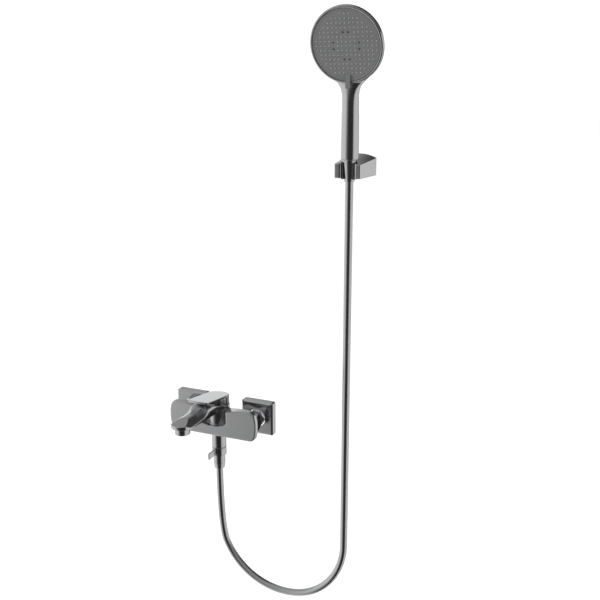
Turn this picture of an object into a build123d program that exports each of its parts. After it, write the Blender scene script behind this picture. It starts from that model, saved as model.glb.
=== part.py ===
"""Wall mounted bath mixer with hose, hand shower and wall bracket.

Frame: the finished wall is the plane Y = 0, the room is on -Y, +Z is up.
The origin lies on the wall, midway between the two water inlets.  Millimetres.
"""
from build123d import *
from math import cos, pi, radians, sin, tan
import os

os.makedirs("parts", exist_ok=True)

# ---------------------------------------------------------------- clearances
seat = 0.05            # radial gap of a part that is pushed or screwed home
running = 0.08         # radial gap of a part that turns or slides
air = 0.4              # gap between parts that never touch

# ---------------------------------------------------------------- wall inlets
inlet_spacing = 150.0
wall_thread_r = 10.4   # G1/2 male
union_thread_r = 13.2  # G3/4 male
union_bore = 7.0
wall_thread_length = 22.0
nut_across_flats = 30.0
nut_depth = 14.0
nut_from_wall = 7.5
tail_r = 9.6
tail_flange_r = 11.9
washer_thickness = 2.0

# ---------------------------------------------------------------- escutcheons
rose_size = 69.0
rose_depth = 16.0
rose_wall = 2.2
rose_corner = 4.0
rose_bevel = 3.0
rose_bore = 18.2

# ---------------------------------------------------------------- mixer body
body_depth = 39.0      # wall to the body's axis
barrel_r = 17.0
barrel_length = 178.0
plate_width = 194.0
plate_height = 62.0
plate_thickness = 10.0
plate_front = 66.5     # wall to the front face
plate_corner = 14.0
plate_edge = 2.5
column_r = 21.5
column_top = 20.0
plate_bow = 2.5        # how far each end of the plate bulges
notch_gap = 5.5        # from the column to where the plate's top starts to rise
notch_floor = -9.0     # floor of the scoop in front of the column
scoop_half = 31.5
scoop_back = 45.0
shoulder_run = 88.0    # half width over which the plate's top dips
shoulder_drop = 9.0
valve_length = 12.0    # check valves in the tail pieces
valve_wall = 1.4
valve_travel = 2.5
outlet_r = 14.75
outlet_end = -30.0

# ---------------------------------------------------------------- cartridge
cartridge_r = 17.5
cartridge_floor = -6.0
cartridge_top = 17.0
port_block = 6.5
cartridge_wall = 1.8
ceramic_r = 14.0
ceramic_thickness = 4.0
carrier_r = 14.5
neck_r = 10.5
retaining_nut_height = 4.8
pivot_y = -34.0        # lever pin, a little behind the body's axis
pivot_z = 37.0
pin_r = 1.5
stem_width = 8.0
stem_depth = 5.0
cheek_thickness = 3.0

# ---------------------------------------------------------------- spout
hub_r = 22.8
hub_top = 29.5
hub_wall = 1.2
hub_floor = 2.0
spout_width = 43.0
spout_reach = 179.0    # wall to the aerator's axis
spout_top = 45.5
spout_shoulder = 33.5
spout_root_z = 24.0
spout_tip_z = 32.0
spout_wall = 2.6
tip_facet_run = 36.0
tip_facet_drop = 7.0
saddle_front = 117.0   # wall to the nose of the saddle under the lever
saddle_gap = 1.2       # between the saddle's top and the lever
saddle_side = 30.5     # height of the saddle's edge beside the hub
aerator_r = 14.5
aerator_drop = 14.0
aerator_neck_r = 12.0
aerator_insert_r = 10.6

# ---------------------------------------------------------------- handle
handle_r = 22.2
handle_gap = 1.6
handle_reach = 122.0   # wall to the lever's front edge
handle_rear_top = 45.4
handle_slope = 8.4    # degrees, rising to the front
handle_thickness = 4.5
handle_bow = 2.0       # how far the front edge bulges
lever_corner = 3.0
skirt_wall = 1.6
handle_lift = 20.0     # degrees
roof_thickness = 3.5
grub_r = 2.0
grub_z = 38.5
plug_cap_r = 2.8

# ---------------------------------------------------------------- diverter
diverter_end = -64.5
sleeve_height = 17.5
sleeve_gap = 0.4
tab_reach = 44.0
tab_thickness = 3.2
tab_height = 12.5
spindle_r = 7.0
tube_thread_r = 10.3   # G1/2 male outlet under the sleeve

# ---------------------------------------------------------------- hose
hose_r = 7.0
hose_nut_r = 11.9
hose_nut_height = 29.0
hose_bore = 4.0
bend_share = 0.45

# ---------------------------------------------------------------- hand shower
holder_x = 280.0
holder_z = 508.0
socket_depth = 58.0    # wall to the socket's axis
cone_height = 38.0
cone_top_r = 12.0
cone_end_r = 8.8
cone_top_z = 527.0
grip_r = 15.5
grip_length = 98.0
grip_wall = 2.4
head_r = 64.0
head_tilt = 14.5       # degrees, face leaning down
head_center_z = 715.5
head_center_y = -85.0
head_rim = 9.0
head_back = 13.0
rim_width = 4.5
face_recess = 1.6
face_thickness = 3.0
mat_thickness = 1.6
selector_width = 8.5
selector_length = 21.0
selector_height = 4.0

# ---------------------------------------------------------------- wall bracket
bracket_back_width = 60.0
bracket_back_height = 31.0
bracket_crown = 7.0
bracket_front_width = 47.0
bracket_front_height = 25.0
bracket_length = 70.0
bracket_wall = 3.0
base_thickness = 4.0
liner_thickness = 1.6
mouth_back = 17.0
mouth_front = 33.0
screw_spacing = 32.0
screw_r = 2.2
screw_head_r = 4.2
plug_r = 4.0
plug_length = 30.0

body_y = -body_depth
socket_y = -socket_depth
AXIS = Plane((0, body_y, 0))


def save(part, name):
    """Name a finished piece and write it."""
    part.part.label = name
    export_step(part.part, f"parts/{name}.step")


def pair(x):
    """The same thing at the hot inlet and at the cold inlet."""
    return [(-x, 0), (x, 0)]


def revolved(points, x=0.0, y=0.0):
    """A ring turned about a vertical axis from (radius, height) corners."""
    with BuildPart() as ring:
        with BuildSketch(Plane((x, y, 0), x_dir=(1, 0, 0), z_dir=(0, -1, 0))):
            with BuildLine():
                Polyline(*points, close=True)
            make_face()
        revolve(axis=Axis((x, y, 0), (0, 0, 1)))
    return ring


# ================================================================ mixer body
inlet_x = inlet_spacing / 2
plate_back = plate_front - plate_thickness
tail_end = nut_from_wall + washer_thickness + 2.5
nut_seat = tail_end + 3.0

with BuildPart() as mixer_body:
    # the flat plate that faces the room
    end_x = plate_width / 2 - plate_bow
    top_z = plate_height / 2
    with BuildSketch(Plane.XZ.offset(plate_back)) as plate_outline:
        with BuildLine():
            Line((-end_x, top_z), (end_x, top_z))
            ThreePointArc((end_x, top_z), (plate_width / 2, 0), (end_x, -top_z))
            Line((end_x, -top_z), (-end_x, -top_z))
            ThreePointArc((-end_x, -top_z), (-plate_width / 2, 0), (-end_x, top_z))
        make_face()
        fillet(plate_outline.vertices(), radius=plate_corner)
    extrude(amount=plate_thickness)
    front_edges = mixer_body.faces().sort_by(Axis.Y)[0].edges()
    fillet(front_edges, radius=plate_edge)
    # the plate's top dips from both shoulders to the spout's root
    with BuildSketch(Plane.XZ.offset(plate_back)):
        with BuildLine():
            notch_half = column_r + notch_gap
            dip = plate_height / 2 - shoulder_drop
            Spline(
                (-shoulder_run, plate_height / 2),
                (-notch_half, dip),
                tangents=[(1, 0), (1, -0.25)],
            )
            Line((-notch_half, dip), (notch_half, dip))
            Spline(
                (notch_half, dip),
                (shoulder_run, plate_height / 2),
                tangents=[(1, 0.25), (1, 0)],
            )
            Polyline(
                (shoulder_run, plate_height / 2),
                (shoulder_run, plate_height),
                (-shoulder_run, plate_height),
                (-shoulder_run, plate_height / 2),
            )
        make_face()
    extrude(amount=plate_thickness, mode=Mode.SUBTRACT)
    # the barrel that joins both inlets, and the web that carries the plate
    with BuildSketch(Plane.YZ.offset(-barrel_length / 2)):
        with Locations((body_y, 0)):
            Circle(barrel_r)
    extrude(amount=barrel_length)
    with BuildSketch(Plane.XZ.offset(body_depth)):
        Rectangle(barrel_length - 2 * plate_corner, barrel_r * 1.5)
    extrude(amount=plate_back - body_depth)
    # shoulders that join the plate to the column, and the scoop in front of it
    with BuildSketch(Plane.XZ.offset(scoop_back)):
        with Locations((0, (column_top + notch_floor - 6) / 2)):
            Rectangle(2 * (scoop_half + 3), column_top - notch_floor + 6)
    extrude(amount=plate_back - scoop_back)
    scoop_side = [
        (scoop_half, -plate_front - 2),
        (scoop_half - 1.5, -plate_front + 3),
        (scoop_half - 4.0, -plate_front + 9),
        (scoop_half - 7.5, -plate_front + 15),
        (scoop_half - 11.5, -plate_front + 19.5),
    ]
    with BuildSketch(Plane.XY.offset(notch_floor)):
        with BuildLine():
            Polyline(*scoop_side, *[(-x, y) for x, y in reversed(scoop_side)], close=True)
        make_face()
    extrude(amount=plate_height, mode=Mode.SUBTRACT)
    # column up to the spout, outlet boss down to the diverter
    with BuildSketch(AXIS.offset(outlet_end)):
        Circle(outlet_r)
    extrude(amount=-outlet_end)
    with BuildSketch(AXIS.offset(-barrel_r)):
        Circle(column_r)
    extrude(amount=column_top + barrel_r)
    # tail pieces towards the wall
    with BuildSketch(Plane.XZ.offset(tail_end)):
        with Locations(*pair(inlet_x)):
            Circle(tail_r)
    extrude(amount=body_depth - tail_end)
    with BuildSketch(Plane.XZ.offset(tail_end)):
        with Locations(*pair(inlet_x)):
            Circle(tail_flange_r)
    extrude(amount=2.5)
    # water ways
    with BuildSketch(Plane.XZ.offset(tail_end)):
        with Locations(*pair(inlet_x)):
            Circle(union_bore)
    extrude(amount=body_depth - tail_end, mode=Mode.SUBTRACT)
    with BuildSketch(Plane.YZ.offset(-inlet_x)):
        with Locations((body_y, -1)):
            Circle(union_bore - 1)
    extrude(amount=inlet_x - cartridge_r, mode=Mode.SUBTRACT)
    with BuildSketch(Plane.YZ.offset(cartridge_r)):
        with Locations((body_y, -1)):
            Circle(union_bore - 1)
    extrude(amount=inlet_x - cartridge_r, mode=Mode.SUBTRACT)
    with BuildSketch(AXIS.offset(cartridge_floor)):
        Circle(cartridge_r + seat)
    extrude(amount=column_top - cartridge_floor, mode=Mode.SUBTRACT)
    with BuildSketch(AXIS.offset(outlet_end)):
        Circle(spindle_r + 3)
    extrude(amount=14, mode=Mode.SUBTRACT)
    with BuildSketch(AXIS.offset(outlet_end)):
        Circle(spindle_r - 2)
    extrude(amount=cartridge_floor - outlet_end, mode=Mode.SUBTRACT)
save(mixer_body, "mixer_body")


# ================================================================ inlets
def wall_union(x, side):
    """Union: G1/2 into the wall, G3/4 out to the nut."""
    with BuildPart() as union:
        with BuildSketch(Plane.XZ.offset(-wall_thread_length)):
            with Locations((x, 0)):
                Circle(wall_thread_r)
        extrude(amount=wall_thread_length + 1)
        with BuildSketch(Plane.XZ.offset(0.5)):
            with Locations((x, 0)):
                Circle(union_thread_r)
        extrude(amount=tail_end - washer_thickness - 0.5)
        with BuildSketch(Plane.XZ.offset(-wall_thread_length)):
            with Locations((x, 0)):
                Circle(union_bore)
        extrude(amount=wall_thread_length + tail_end, mode=Mode.SUBTRACT)
    save(union, f"wall_union_{side}")


wall_union(-inlet_x, "hot")
wall_union(inlet_x, "cold")

with BuildPart() as filter_washers:
    with BuildSketch(Plane.XZ.offset(tail_end - washer_thickness)):
        with Locations(*pair(inlet_x)):
            Circle(tail_flange_r - 0.4)
            Circle(union_bore - 1.5, mode=Mode.SUBTRACT)
    extrude(amount=washer_thickness)
save(filter_washers, "filter_washers")

with BuildPart() as union_nuts:
    with BuildSketch(Plane.XZ.offset(nut_from_wall)):
        with Locations(*pair(inlet_x)):
            RegularPolygon(nut_across_flats / 2, 6, major_radius=False)
    extrude(amount=nut_depth)
    chamfer(union_nuts.faces().group_by(Axis.Y)[0].edges(), length=0.8)
    with BuildSketch(Plane.XZ.offset(nut_from_wall)):
        with Locations(*pair(inlet_x)):
            Circle(union_thread_r + seat)
    extrude(amount=nut_seat - nut_from_wall, mode=Mode.SUBTRACT)
    with BuildSketch(Plane.XZ.offset(nut_from_wall)):
        with Locations(*pair(inlet_x)):
            Circle(tail_r + seat)
    extrude(amount=nut_depth, mode=Mode.SUBTRACT)
save(union_nuts, "union_nuts")

valve_start = tail_end + 1.0
with BuildPart() as check_valves:
    # sleeve with a seat at the wall end and a drilled guide at the room end
    with BuildSketch(Plane.XZ.offset(valve_start)):
        with Locations(*pair(inlet_x)):
            Circle(union_bore - seat)
    extrude(amount=valve_length)
    with BuildSketch(Plane.XZ.offset(valve_start)):
        with Locations(*pair(inlet_x)):
            Circle(union_bore - valve_wall - 2.2)
    extrude(amount=valve_length, mode=Mode.SUBTRACT)
    with BuildSketch(Plane.XZ.offset(valve_start + 1.5)):
        with Locations(*pair(inlet_x)):
            Circle(union_bore - valve_wall)
    extrude(amount=valve_length - 3.0, mode=Mode.SUBTRACT)
    with BuildSketch(Plane.XZ.offset(valve_start + valve_length - 1.5)):
        with Locations(*pair(inlet_x)):
            Rectangle(2 * (union_bore - valve_wall), 3.6)
            Circle(1.2 + running, mode=Mode.SUBTRACT)
    extrude(amount=1.5)
save(check_valves, "check_valves")


def poppet(x, side):
    """Check valve poppet: opens away from the wall."""
    with BuildPart() as plug:
        with BuildSketch(Plane.XZ.offset(valve_start + 1.5)):
            with Locations((x, 0)):
                Circle(union_bore - valve_wall - 0.9)
        extrude(amount=2.0)
        with BuildSketch(Plane.XZ.offset(valve_start + 3.0)):
            with Locations((x, 0)):
                Circle(1.2)
        extrude(amount=valve_length - 2.5)
    save(plug, f"check_poppet_{side}")


poppet(-inlet_x, "hot")
poppet(inlet_x, "cold")


def escutcheon(x, side):
    """Square rose: a shallow cup open to the wall, slid over the union nut."""
    with BuildPart() as rose:
        with BuildSketch(Plane.XZ):
            with Locations((x, 0)):
                RectangleRounded(rose_size, rose_size, rose_corner)
        extrude(amount=rose_depth)
        chamfer(rose.faces().sort_by(Axis.Y)[0].edges(), length=rose_bevel * 0.6)
        with BuildSketch(Plane.XZ):
            with Locations((x, 0)):
                inner = rose_size - 2 * rose_wall
                RectangleRounded(inner, inner, rose_corner - rose_wall / 2)
        extrude(amount=rose_depth - rose_wall, mode=Mode.SUBTRACT)
        with BuildSketch(Plane.XZ):
            with Locations((x, 0)):
                Circle(rose_bore)
        extrude(amount=rose_depth, mode=Mode.SUBTRACT)
    save(rose, f"escutcheon_{side}")


escutcheon(-inlet_x, "hot")
escutcheon(inlet_x, "cold")


# ================================================================ cartridge
seal_thickness = 3.0
block_base = cartridge_floor + seal_thickness
disc_base = block_base + port_block
moving_base = disc_base + ceramic_thickness + 0.05
moving_top = moving_base + ceramic_thickness
moving_r = 8.0
slot_depth = 2.6
shell_inner = carrier_r + running


def ports():
    """Hot and cold inlet holes and the outlet hole of the cartridge."""
    with BuildSketch() as holes:
        with Locations((-7.5, -4), (7.5, -4)):
            Circle(2.4)
        with Locations((0, 5.5)):
            SlotOverall(10, 4)
    return holes.sketch


with BuildPart() as cartridge_seal:
    with BuildSketch(AXIS.offset(cartridge_floor)):
        Circle(cartridge_r - 0.2)
        add(ports(), mode=Mode.SUBTRACT)
    extrude(amount=seal_thickness)
save(cartridge_seal, "cartridge_seal")

with BuildPart() as port_body:
    with BuildSketch(AXIS.offset(block_base)):
        Circle(cartridge_r)
        add(ports(), mode=Mode.SUBTRACT)
    extrude(amount=port_block)
save(port_body, "cartridge_base")

with BuildPart() as fixed_disc:
    with BuildSketch(AXIS.offset(disc_base)):
        Circle(ceramic_r)
        add(ports(), mode=Mode.SUBTRACT)
    extrude(amount=ceramic_thickness)
save(fixed_disc, "fixed_disc")

with BuildPart() as moving_disc:
    # square pocket on top takes the stem's toe
    with BuildSketch(Plane((0, pivot_y, moving_base))):
        Circle(moving_r)
    extrude(amount=ceramic_thickness)
    with BuildSketch(Plane((0, pivot_y, moving_top - slot_depth))):
        Rectangle(stem_width / 2 + 2 * running, stem_width / 2 + 1.2)
    extrude(amount=slot_depth, mode=Mode.SUBTRACT)
save(moving_disc, "moving_disc")

cartridge_profile = [
    (shell_inner, disc_base),
    (cartridge_r, disc_base),
    (cartridge_r, cartridge_top),
    (neck_r + running, cartridge_top),
    (neck_r + running, cartridge_top - cartridge_wall),
    (shell_inner, cartridge_top - cartridge_wall),
]
cartridge_shell = revolved(cartridge_profile, 0, body_y)
save(cartridge_shell, "cartridge_shell")

carrier_base = moving_top + air
carrier_top = cartridge_top - cartridge_wall - 0.2
cheek_top = pivot_z + 2.6
cheek_inner = stem_width / 2 + running
cheek_outer = cheek_inner + cheek_thickness
cheek_middle = (cheek_inner + cheek_outer) / 2
swing = (pivot_z - carrier_base) * tan(radians(handle_lift))
slot_rear = pivot_y + stem_depth / 2 + air
slot_front = pivot_y - swing - stem_depth / 2 - 2 * air
with BuildPart() as lever_carrier:
    with BuildSketch(AXIS.offset(carrier_base)):
        Circle(carrier_r)
    extrude(amount=carrier_top - carrier_base)
    with BuildSketch(AXIS.offset(carrier_base)):
        Circle(neck_r)
    extrude(amount=cartridge_top + 1 - carrier_base)
    # two cheeks that hold the lever's pin
    with BuildSketch(AXIS.offset(cartridge_top)):
        with Locations((cheek_middle, pivot_y - body_y), (-cheek_middle, pivot_y - body_y)):
            Rectangle(cheek_thickness, 7.0)
    extrude(amount=cheek_top - cartridge_top)
    # slot for the swinging stem
    with BuildSketch(Plane((0, (slot_rear + slot_front) / 2, carrier_base))):
        Rectangle(stem_width + 2 * running, slot_rear - slot_front)
    extrude(amount=cheek_top, mode=Mode.SUBTRACT)
    with BuildSketch(Plane.YZ.offset(-cheek_outer)):
        with Locations((pivot_y, pivot_z)):
            Circle(pin_r + seat)
    extrude(amount=2 * cheek_outer, mode=Mode.SUBTRACT)
save(lever_carrier, "lever_carrier")

with BuildPart() as lever_pin:
    with BuildSketch(Plane.YZ.offset(-cheek_outer)):
        with Locations((pivot_y, pivot_z)):
            Circle(pin_r)
    extrude(amount=2 * cheek_outer)
save(lever_pin, "lever_pin")

with BuildPart() as retaining_nut:
    with BuildSketch(AXIS.offset(cartridge_top)):
        Circle(cartridge_r)
        Circle(neck_r + 1.5, mode=Mode.SUBTRACT)
    extrude(amount=retaining_nut_height)
save(retaining_nut, "retaining_nut")

# ================================================================ handle
rise = tan(radians(handle_slope))
rear_y = body_y + handle_r
front_y = -handle_reach
skirt_base = hub_top + handle_gap


def handle_top(y):
    """Height of the lever's top face at a distance from the wall."""
    return handle_rear_top + (rear_y - y) * rise


def slab(upper, lower, y_rear, y_front):
    """Side outline between two depths below the lever's sloping top."""
    return [
        (y_rear, handle_top(y_rear) - upper),
        (y_front, handle_top(y_front) - upper),
        (y_front, handle_top(y_front) - lower),
        (y_rear, handle_top(y_rear) - lower),
    ]


with BuildPart() as handle_hollow:
    # space under the roof, except the boss that holds the grub screw
    with BuildSketch(AXIS.offset(skirt_base - 5)):
        Circle(handle_r - skirt_wall)
    extrude(amount=60)
    with BuildSketch(Plane.YZ.offset(-handle_r)):
        with BuildLine():
            Polyline(*slab(roof_thickness, 40, rear_y, body_y - handle_r), close=True)
        make_face()
    extrude(amount=2 * handle_r, mode=Mode.INTERSECT)
    boss_rear = pivot_y + 4.0
    with BuildSketch(Plane((0, (boss_rear + rear_y) / 2, grub_z - 3.0))):
        Rectangle(stem_width, rear_y - boss_rear)
    extrude(amount=20, mode=Mode.SUBTRACT)

with BuildPart() as handle:
    # skirt: round, with its lower edge sweeping up to the front
    with BuildSketch(AXIS.offset(skirt_base)):
        Circle(handle_r)
    extrude(amount=60)
    skirt_front = body_y - handle_r
    with BuildSketch(Plane.YZ.offset(-handle_r)):
        with BuildLine():
            Polyline(
                (rear_y, skirt_base - 5),
                (rear_y, handle_top(rear_y)),
                (skirt_front, handle_top(skirt_front)),
                (skirt_front, handle_top(skirt_front) - handle_thickness),
                (skirt_front + 9, skirt_base + 4),
                (body_y, skirt_base - 5),
                close=True,
            )
        make_face()
    extrude(amount=2 * handle_r, mode=Mode.INTERSECT)
    # paddle: flat, as wide as the skirt
    with BuildSketch(Plane.YZ.offset(-handle_r)):
        with BuildLine():
            Polyline(*slab(0, handle_thickness, body_y, front_y), close=True)
        make_face()
    extrude(amount=2 * handle_r)
    # front edge bulges a little and its corners are rounded
    with BuildSketch(Plane.XY.offset(skirt_base)) as lever_plan:
        with BuildLine():
            Line((handle_r, front_y + handle_bow), (handle_r, rear_y))
            Line((handle_r, rear_y), (-handle_r, rear_y))
            Line((-handle_r, rear_y), (-handle_r, front_y + handle_bow))
            ThreePointArc((-handle_r, front_y + handle_bow), (0, front_y), (handle_r, front_y + handle_bow))
        make_face()
        fillet(lever_plan.vertices().group_by(Axis.Y)[0], radius=lever_corner)
    extrude(amount=60, mode=Mode.INTERSECT)
    add(handle_hollow.part, mode=Mode.SUBTRACT)
    # grub screw hole through the rear boss, with a shallow seat for its cap
    with BuildSketch(Plane.XZ.offset(-rear_y - 1)):
        with Locations((0, grub_z)):
            Circle(grub_r + seat)
    extrude(amount=rear_y + 1 - boss_rear, mode=Mode.SUBTRACT)
    with BuildSketch(Plane.XZ.offset(-rear_y - 1)):
        with Locations((0, grub_z)):
            Circle(plug_cap_r + seat)
    extrude(amount=3.0, mode=Mode.SUBTRACT)
save(handle, "handle")

with BuildPart() as grub_screw:
    with BuildSketch(Plane.XZ.offset(-boss_rear)):
        with Locations((0, grub_z)):
            Circle(grub_r)
    extrude(amount=-7.0)
save(grub_screw, "grub_screw")

with BuildPart() as screw_cap:
    with BuildSketch(Plane.XZ.offset(-rear_y + 2.0)):
        with Locations((0, grub_z)):
            Circle(plug_cap_r)
    extrude(amount=-1.6)
save(screw_cap, "screw_cap")

with BuildPart() as lever_stem:
    # blade under the handle's roof, pivoted on the pin, toe in the disc's pocket
    roof = roof_thickness
    with BuildSketch(Plane.YZ.offset(-stem_width / 2)):
        with BuildLine():
            Polyline(
                (boss_rear, handle_top(boss_rear) - roof),
                (pivot_y - 12.0, handle_top(pivot_y - 12.0) - roof),
                (pivot_y - 12.0, pivot_z),
                (pivot_y - stem_depth / 2, pivot_z - 8.0),
                (pivot_y - stem_depth / 2, moving_top + 1.6),
                (pivot_y + stem_depth / 2, moving_top + 1.6),
                (pivot_y + stem_depth / 2, pivot_z - 4.0),
                (boss_rear, pivot_z - 2.0),
                close=True,
            )
        make_face()
    extrude(amount=stem_width)
    with BuildSketch(Plane((0, pivot_y, moving_top - slot_depth + air))):
        Rectangle(stem_width / 2, stem_width / 2)
    extrude(amount=slot_depth + 2)
    with BuildSketch(Plane.YZ.offset(-stem_width)):
        with Locations((pivot_y, pivot_z)):
            Circle(pin_r + running)
    extrude(amount=2 * stem_width, mode=Mode.SUBTRACT)
save(lever_stem, "lever_stem")

# ================================================================ spout
tip_y = -spout_reach
half = spout_width / 2
saddle_nose = -saddle_front
saddle_z = handle_top(saddle_nose + 5) - handle_thickness - saddle_gap
saddle_ends = [(body_y, saddle_side), (saddle_nose + 5, saddle_z)]
saddle_tangents = [(-1, 0.12), (-1, 0.6)]
with BuildPart() as spout:
    # blade: domed section along the reach
    with BuildSketch(Plane.XZ.offset(body_depth)):
        with BuildLine():
            Polyline(
                (-half, spout_shoulder),
                (-half, spout_root_z - 6),
                (half, spout_root_z - 6),
                (half, spout_shoulder),
            )
            ThreePointArc((half, spout_shoulder), (0, spout_top), (-half, spout_shoulder))
        make_face()
    extrude(amount=spout_reach + half - body_depth)
    # round tip in plan
    with BuildSketch(Plane.XY):
        with Locations((0, tip_y)):
            Circle(half)
        with Locations((0, (tip_y + body_y) / 2)):
            Rectangle(spout_width, body_y - tip_y)
    extrude(amount=100, mode=Mode.INTERSECT)
    # rising underside and slanted front facet
    with BuildSketch(Plane.YZ.offset(-half - 1)):
        with BuildLine():
            Polyline(
                (body_y + 5, spout_root_z),
                (tip_y - half - 5, spout_tip_z),
                (tip_y - half - 5, spout_top - tip_facet_drop),
                (tip_y - half + tip_facet_run, spout_top + 1),
                (body_y + 5, spout_top + 1),
                close=True,
            )
        make_face()
    extrude(amount=spout_width + 2, mode=Mode.INTERSECT)
    # saddle: sweeps up from the hub to just under the lever's front
    with BuildSketch(Plane.YZ.offset(-half)):
        with BuildLine():
            Polyline(
                (saddle_nose, saddle_z),
                (saddle_nose - 1.5, saddle_z - 5),
                (saddle_nose - 2.5, spout_shoulder),
                (body_y, spout_shoulder - 8),
                (body_y, saddle_side),
            )
            Spline(*saddle_ends, tangents=saddle_tangents)
            Line(saddle_ends[1], (saddle_nose, saddle_z))
        make_face()
    extrude(amount=spout_width)
    # nothing stands above the saddle's sweep: the lever swings there
    with BuildSketch(Plane.YZ.offset(-half)):
        with BuildLine():
            Spline(*saddle_ends, tangents=saddle_tangents)
            Polyline(
                saddle_ends[1],
                (saddle_nose + 5, spout_top + 20),
                (body_y + 10, spout_top + 20),
                (body_y + 10, saddle_side),
                saddle_ends[0],
            )
        make_face()
    extrude(amount=spout_width, mode=Mode.SUBTRACT)
    # hub ring round the handle's skirt
    with BuildSketch(AXIS.offset(column_top)):
        Circle(hub_r)
    extrude(amount=hub_top - column_top)
    with BuildSketch(AXIS.offset(hub_top)):
        Circle(hub_r + 0.2)
    extrude(amount=40, mode=Mode.SUBTRACT)
    with BuildSketch(AXIS.offset(column_top + hub_floor)):
        Circle(hub_r - hub_wall)
    extrude(amount=40, mode=Mode.SUBTRACT)
    with BuildSketch(AXIS.offset(column_top)):
        Circle(cartridge_r + seat)
    extrude(amount=40, mode=Mode.SUBTRACT)
    # water way and aerator socket
    with BuildSketch(Plane.XZ.offset(body_depth + hub_r + 3)):
        with Locations((0, spout_tip_z + 5)):
            Circle(4.0)
    extrude(amount=spout_reach - body_depth - hub_r - 3, mode=Mode.SUBTRACT)
    with BuildSketch(Plane((0, tip_y, spout_tip_z - 6))):
        Circle(aerator_neck_r + seat)
    extrude(amount=11.0, mode=Mode.SUBTRACT)
save(spout, "spout")

aerator_base = spout_tip_z - aerator_drop
aerator_rim = spout_tip_z - 1.0
aerator_profile = [
    (aerator_insert_r + seat, aerator_base),
    (aerator_r, aerator_base),
    (aerator_r, aerator_rim - 1.0),
    (aerator_neck_r, aerator_rim - 1.0),
    (aerator_neck_r, spout_tip_z + 3.5),
    (aerator_insert_r + seat, spout_tip_z + 3.5),
]
aerator_shell = revolved(aerator_profile, 0, tip_y)
save(aerator_shell, "aerator_shell")

with BuildPart() as aerator_insert:
    with BuildSketch(Plane((0, tip_y, aerator_base + 1.2))):
        Circle(aerator_insert_r)
        with GridLocations(3.2, 3.2, 5, 5):
            Rectangle(2.2, 2.2, mode=Mode.SUBTRACT)
    extrude(amount=spout_tip_z + 3.5 - aerator_base - 1.2)
save(aerator_insert, "aerator_insert")

with BuildPart() as aerator_gasket:
    with BuildSketch(Plane((0, tip_y, spout_tip_z + 3.5))):
        Circle(aerator_neck_r - 0.2)
        Circle(aerator_insert_r - 2.5, mode=Mode.SUBTRACT)
    extrude(amount=1.5)
save(aerator_gasket, "aerator_gasket")

# ================================================================ diverter
sleeve_top = diverter_end - sleeve_gap
sleeve_end = sleeve_top - sleeve_height
spindle_top = outlet_end + 10.0
outlet_tube_end = sleeve_end - 12.0
nut_top = sleeve_end - sleeve_gap

diverter_profile = [
    (tube_thread_r - 3.2, outlet_end + 10.5),
    (spindle_r + 3 - seat, outlet_end + 10.5),
    (spindle_r + 3 - seat, outlet_end),
    (outlet_r, outlet_end),
    (outlet_r, diverter_end),
    (tube_thread_r, diverter_end),
    (tube_thread_r, outlet_tube_end),
    (tube_thread_r - 3.2, outlet_tube_end),
]
diverter_body = revolved(diverter_profile, 0, body_y)
save(diverter_body, "diverter_body")

with BuildPart() as diverter_sleeve:
    with BuildSketch(AXIS.offset(sleeve_end)):
        Circle(outlet_r)
        Circle(tube_thread_r + running, mode=Mode.SUBTRACT)
    extrude(amount=sleeve_height)
    with BuildSketch(AXIS.offset(sleeve_top - tab_height)):
        with Locations((0, -(tab_reach + outlet_r - 2) / 2)):
            Rectangle(tab_thickness, tab_reach - outlet_r + 2)
    extrude(amount=tab_height)
save(diverter_sleeve, "diverter_sleeve")

with BuildPart() as diverter_core:
    with BuildSketch(AXIS.offset(diverter_end + 4)):
        Circle(tube_thread_r - 3.2 - running)
        Circle(3.0, mode=Mode.SUBTRACT)
    extrude(amount=24)
save(diverter_core, "diverter_core")

with BuildPart() as diverter_gasket:
    with BuildSketch(AXIS.offset(outlet_end + 10.5)):
        Circle(spindle_r + 2.6)
        Circle(spindle_r - 2.4, mode=Mode.SUBTRACT)
    extrude(amount=2.0)
save(diverter_gasket, "diverter_gasket")

# ================================================================ hose
hose_nut_end = nut_top - hose_nut_height
nut_waist = nut_top - hose_nut_height * 0.62
hose_nut_profile = [
    (hose_r + 0.6, hose_nut_end),
    (hose_nut_r - 1.8, hose_nut_end),
    (hose_nut_r, nut_waist),
    (hose_nut_r, nut_top),
    (tube_thread_r + seat, nut_top),
    (tube_thread_r + seat, outlet_tube_end - washer_thickness - 1.0),
    (hose_r + 0.6, outlet_tube_end - washer_thickness - 1.0),
]
hose_nut = revolved(hose_nut_profile, 0, body_y)
save(hose_nut, "hose_nut")

with BuildPart() as hose_washer_lower:
    with BuildSketch(AXIS.offset(outlet_tube_end - washer_thickness)):
        Circle(tube_thread_r - 0.2)
        Circle(hose_bore, mode=Mode.SUBTRACT)
    extrude(amount=washer_thickness)
save(hose_washer_lower, "hose_washer_lower")

barb_top = outlet_tube_end - washer_thickness
hose_start = barb_top - 8.0
with BuildPart() as hose_barb_lower:
    with BuildSketch(AXIS.offset(barb_top - 1.0)):
        Circle(tube_thread_r - 0.2)
        Circle(hose_bore - 1, mode=Mode.SUBTRACT)
    extrude(amount=1.0)
    with BuildSketch(AXIS.offset(hose_start)):
        Circle(hose_r + 0.5)
        Circle(hose_bore - 1, mode=Mode.SUBTRACT)
    extrude(amount=7.0)
save(hose_barb_lower, "hose_barb_lower")

cone_end_z = cone_top_z - cone_height
hose_finish = cone_end_z + 8.0
hose_route = [
    (0.0, body_y, hose_start),
    (0.0, body_y, -246.0),
    (28.0, -41.0, -305.0),
    (78.0, -44.5, -345.0),
    (141.0, -48.5, -359.0),
    (203.0, -53.0, -345.0),
    (253.0, -56.0, -304.0),
    (holder_x, socket_y, -246.0),
    (holder_x, socket_y, hose_finish),
]


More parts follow.
